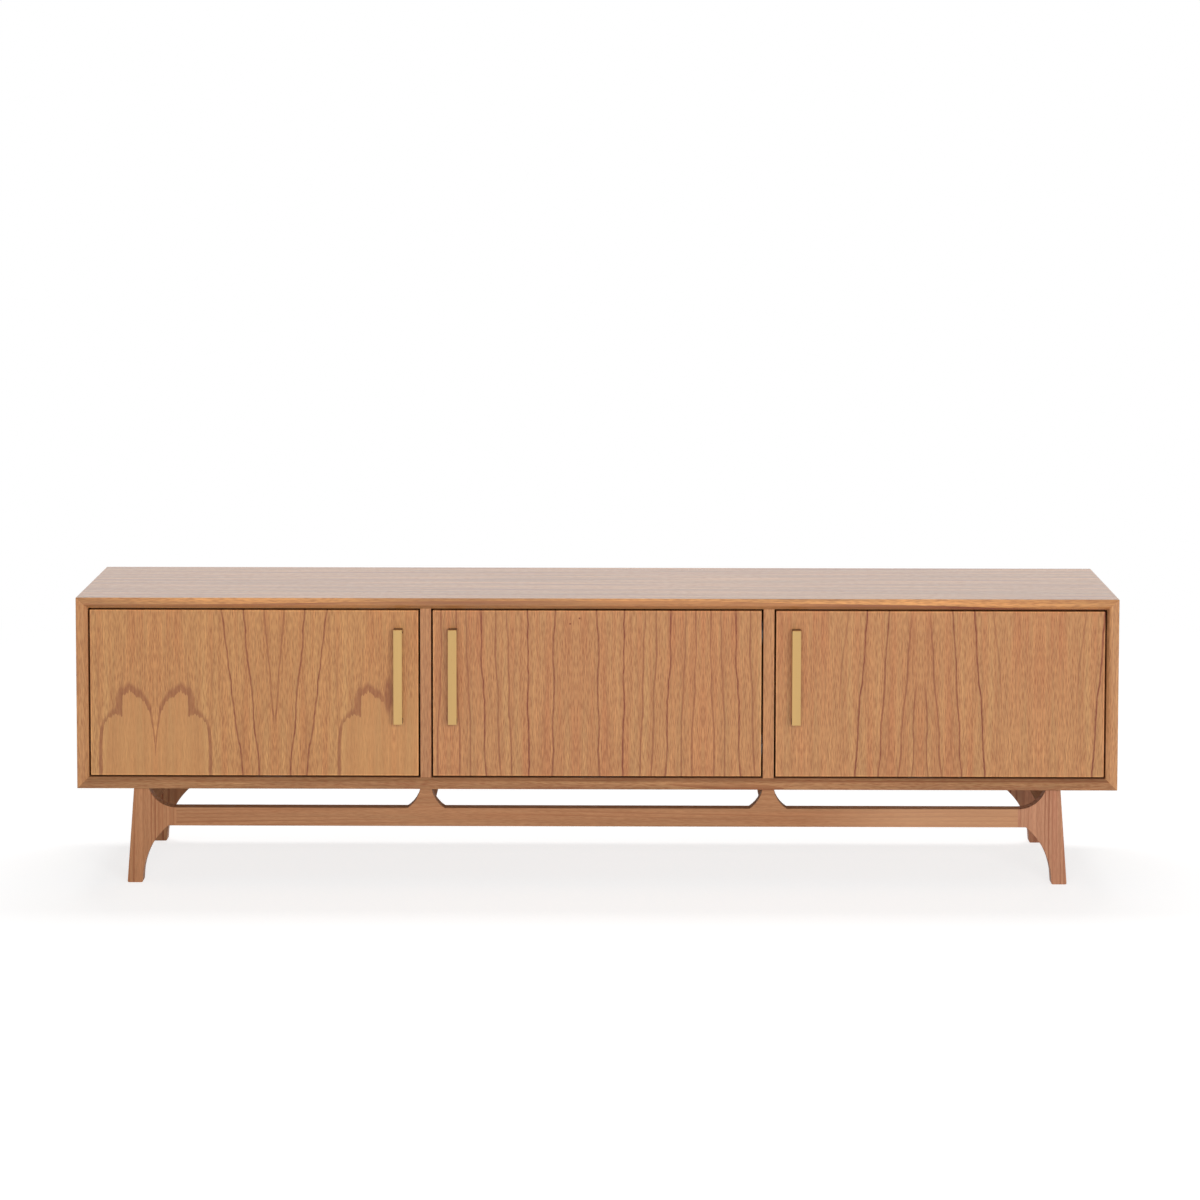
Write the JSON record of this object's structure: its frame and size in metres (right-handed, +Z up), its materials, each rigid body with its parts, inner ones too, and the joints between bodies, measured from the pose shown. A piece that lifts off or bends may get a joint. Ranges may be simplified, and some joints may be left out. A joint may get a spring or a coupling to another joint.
{
  "type": "tv stand",
  "caption": "Low wooden media cabinet: mitred bevelled case, inset hinged doors with flat brass bar pulls, shelves inside, on a base of splayed legs and flared rails.",
  "frame": {"origin": "on the floor, below the middle of the overall box, pulls included", "axes": "+X to the right seen from the front, -Y out of the front, +Z up"},
  "size_m": [1.8, 0.418, 0.5],
  "materials": {
    "case_wood": "satin lacquer",
    "door_veneer": "satin lacquered veneer",
    "shelf_wood": "satin lacquer",
    "back_wood": "thin satin lacquer on plywood",
    "base_wood": "satin lacquer on solid wood",
    "beech": "bare",
    "brass": "satin",
    "steel": "nickel plated",
    "zinc": "zinc plated",
    "dark_plastic": "moulded",
    "magnet": "pressed ferrite"
  },
  "bodies": {
    "case": {"top_panel": "case_wood", "bottom_panel": "case_wood", "left_side_panel": "case_wood", "right_side_panel": "case_wood", "left_divider": "case_wood", "right_divider": "case_wood", "left_back_panel": "back_wood", "centre_back_panel": "back_wood", "right_back_panel": "back_wood", "back_panel_screws": "zinc", "left_shelf": "shelf_wood", "centre_shelf": "shelf_wood", "right_shelf": "shelf_wood", "shelf_pins": "steel", "front_left_leg": "base_wood", "front_right_leg": "base_wood", "rear_left_leg": "base_wood", "rear_right_leg": "base_wood", "front_rail": "base_wood", "rear_rail": "base_wood", "left_end_bearer": "base_wood", "left_post_bearer": "base_wood", "right_post_bearer": "base_wood", "right_end_bearer": "base_wood", "rail_dowels": "beech", "bearer_dowels": "beech", "base_screws": "zinc", "catch_housings": "dark_plastic", "catch_magnets": "magnet", "fitting_screws": "zinc", "hinge_arm_screws": "zinc", "left_hinge_plates": "steel", "left_hinge_arms": "steel", "centre_hinge_plates": "steel", "centre_hinge_arms": "steel", "right_hinge_plates": "steel", "right_hinge_arms": "steel"},
    "left_door": {"left_door_panel": "door_veneer", "left_pull": "brass", "left_pull_screws": "zinc", "left_hinge_cups": "steel", "left_hinge_pins": "steel", "left_door_screws": "zinc", "left_strike_plate": "steel"},
    "centre_door": {"centre_door_panel": "door_veneer", "centre_pull": "brass", "centre_pull_screws": "zinc", "centre_hinge_cups": "steel", "centre_hinge_pins": "steel", "centre_door_screws": "zinc", "centre_strike_plate": "steel"},
    "right_door": {"right_door_panel": "door_veneer", "right_pull": "brass", "right_pull_screws": "zinc", "right_hinge_cups": "steel", "right_hinge_pins": "steel", "right_door_screws": "zinc", "right_strike_plate": "steel"}
  },
  "joints": [
    {"name": "left_door_hinge", "type": "hinge", "parent": "case", "child": "left_door", "pos_m": [-0.853, -0.17276, 0.3335], "axis": [0, 0, -1], "range_deg": [0, 100]},
    {"name": "centre_door_hinge", "type": "hinge", "parent": "case", "child": "centre_door", "pos_m": [0.26, -0.17276, 0.3335], "axis": [0, 0, 1], "range_deg": [0, 100]},
    {"name": "right_door_hinge", "type": "hinge", "parent": "case", "child": "right_door", "pos_m": [0.853, -0.17276, 0.3335], "axis": [0, 0, 1], "range_deg": [0, 100]}
  ]
}
